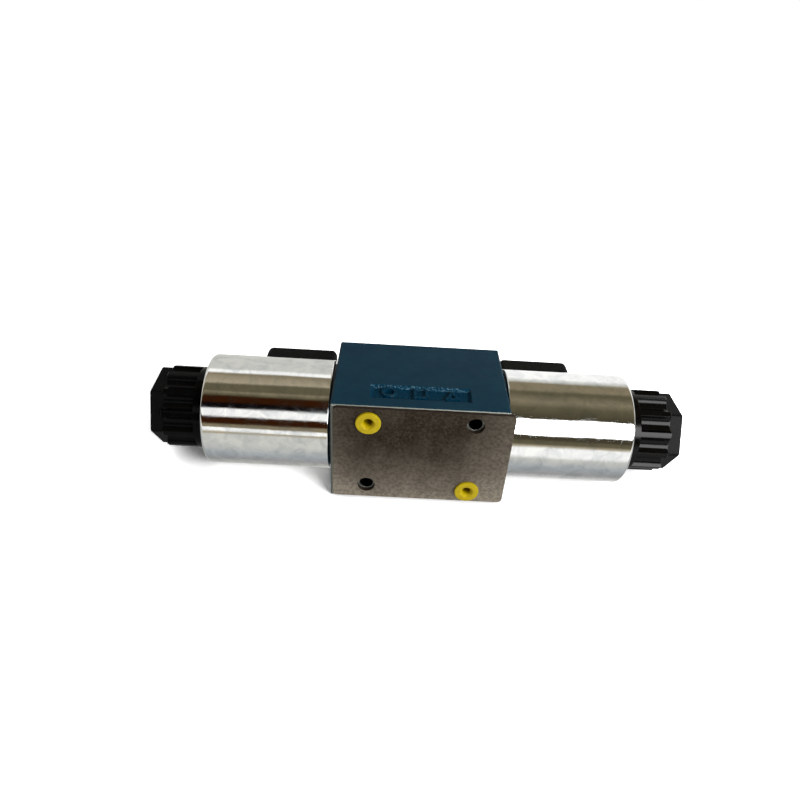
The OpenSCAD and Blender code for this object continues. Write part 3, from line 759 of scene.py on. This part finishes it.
def studio_world():
    """White all round for the camera and for soft light, and a plain room of broad bands for mirrors."""
    world = bpy.data.worlds.new("studio")
    scene.world = world
    nodes = Nodes(world)
    direction = nodes.node("ShaderNodeTexCoord").outputs["Generated"]
    split = nodes.node("ShaderNodeSeparateXYZ", {0: direction}).outputs
    height = nodes.math("ARCTAN2", split["Z"], nodes.math("MULTIPLY", split["Y"], -1))
    unrest = nodes.node("ShaderNodeTexNoise", {"Vector": direction, "Scale": 7, "Detail": 3}).outputs["Fac"]
    height = nodes.math("ADD", height,
                        nodes.math("MULTIPLY", nodes.math("SUBTRACT", unrest, 0.5), math.radians(7)))
    share = nodes.math("FRACT", nodes.math("DIVIDE", nodes.math("ADD", height, 2.5 * math.pi), 2 * math.pi))

    def bands(stops):
        """The room's colours by height, as a ramp over a full turn that starts straight down."""
        ramp = nodes.node("ShaderNodeValToRGB", {0: share})
        elements = ramp.color_ramp.elements
        elements.remove(elements[-1])
        elements[0].position = 0
        elements[0].color = (*stops[0][1], 1)
        for degrees, colour in stops[1:]:
            elements.new((degrees + 90) / 360).color = (*colour, 1)
        return ramp.outputs[0]

    room = nodes.blend(nodes.fit(split["X"], -0.06, 0.1), bands(ROOM_LEFT), bands(ROOM_RIGHT))
    path = nodes.node("ShaderNodeLightPath").outputs
    soft = nodes.math("ADD", nodes.math("MULTIPLY", path["Is Camera Ray"], 1 - SKY), SKY)
    background = nodes.node("ShaderNodeBackground", {"Color": nodes.blend(path["Is Glossy Ray"], soft, room)})
    nodes.node("ShaderNodeOutputWorld", {"Surface": background.outputs[0]})


def soft_box(name, place, aim, size, power):
    """A large soft light that mirrors don't show."""
    data = bpy.data.lights.new(name, "AREA")
    data.shape = "RECTANGLE"
    data.size = size[0]
    data.size_y = size[1]
    data.energy = power
    obj = bpy.data.objects.new(name, data)
    scene.collection.objects.link(obj)
    obj.location = place
    obj.rotation_euler = (aim - Vector(place)).to_track_quat("-Z", "Y").to_euler()
    obj.visible_glossy = False


def camera():
    """The eye looks down along +Y, a little from the left and slightly rolled."""
    azimuth, elevation, roll = (math.radians(a) for a in (1.35, 34.70, 3.79))
    aim = Vector((-7.5 * MM, SPOOL_Y, 8.9 * MM))
    distance = 265.1 * MM
    forward = Vector((math.sin(azimuth) * math.cos(elevation),
                      math.cos(azimuth) * math.cos(elevation),
                      -math.sin(elevation)))
    data = bpy.data.cameras.new("camera")
    data.sensor_width = 36
    data.lens = 28.69
    data.clip_start = 0.01
    obj = bpy.data.objects.new("camera", data)
    scene.collection.objects.link(obj)
    obj.location = aim - forward * distance
    level = forward.to_track_quat("-Z", "Y").to_matrix()
    obj.rotation_euler = (level @ Matrix.Rotation(roll, 3, "Z")).to_euler()
    scene.camera = obj


finish_cad_nodes()
soften("transport_plate", 0.3, segments=3)
transport_plugs()
for side in SIDES:
    soften("connector_base_" + side, 0.35)
    coil_case(side)
    winding(side)
    coil_nut(side)
    return_spring(side)
    ring_piece("flange_seal", "coil_seal", side, inner=CASE_R - 4.3 * MM, round_off=0.4 * MM,
               body="valve_body")
    ring_piece("nut_ring", "nut_seal", side, inner=TUBE_R + 0.3 * MM, round_off=0.8 * MM,
               body="nut_seal_" + side)

floor()
studio_world()
soft_box("key_light", place=(0.48, -0.55, 0.40), aim=Vector((0, SPOOL_Y, 0)), size=(0.35, 0.35), power=8.8)
camera()
scene.view_settings.view_transform = "Standard"
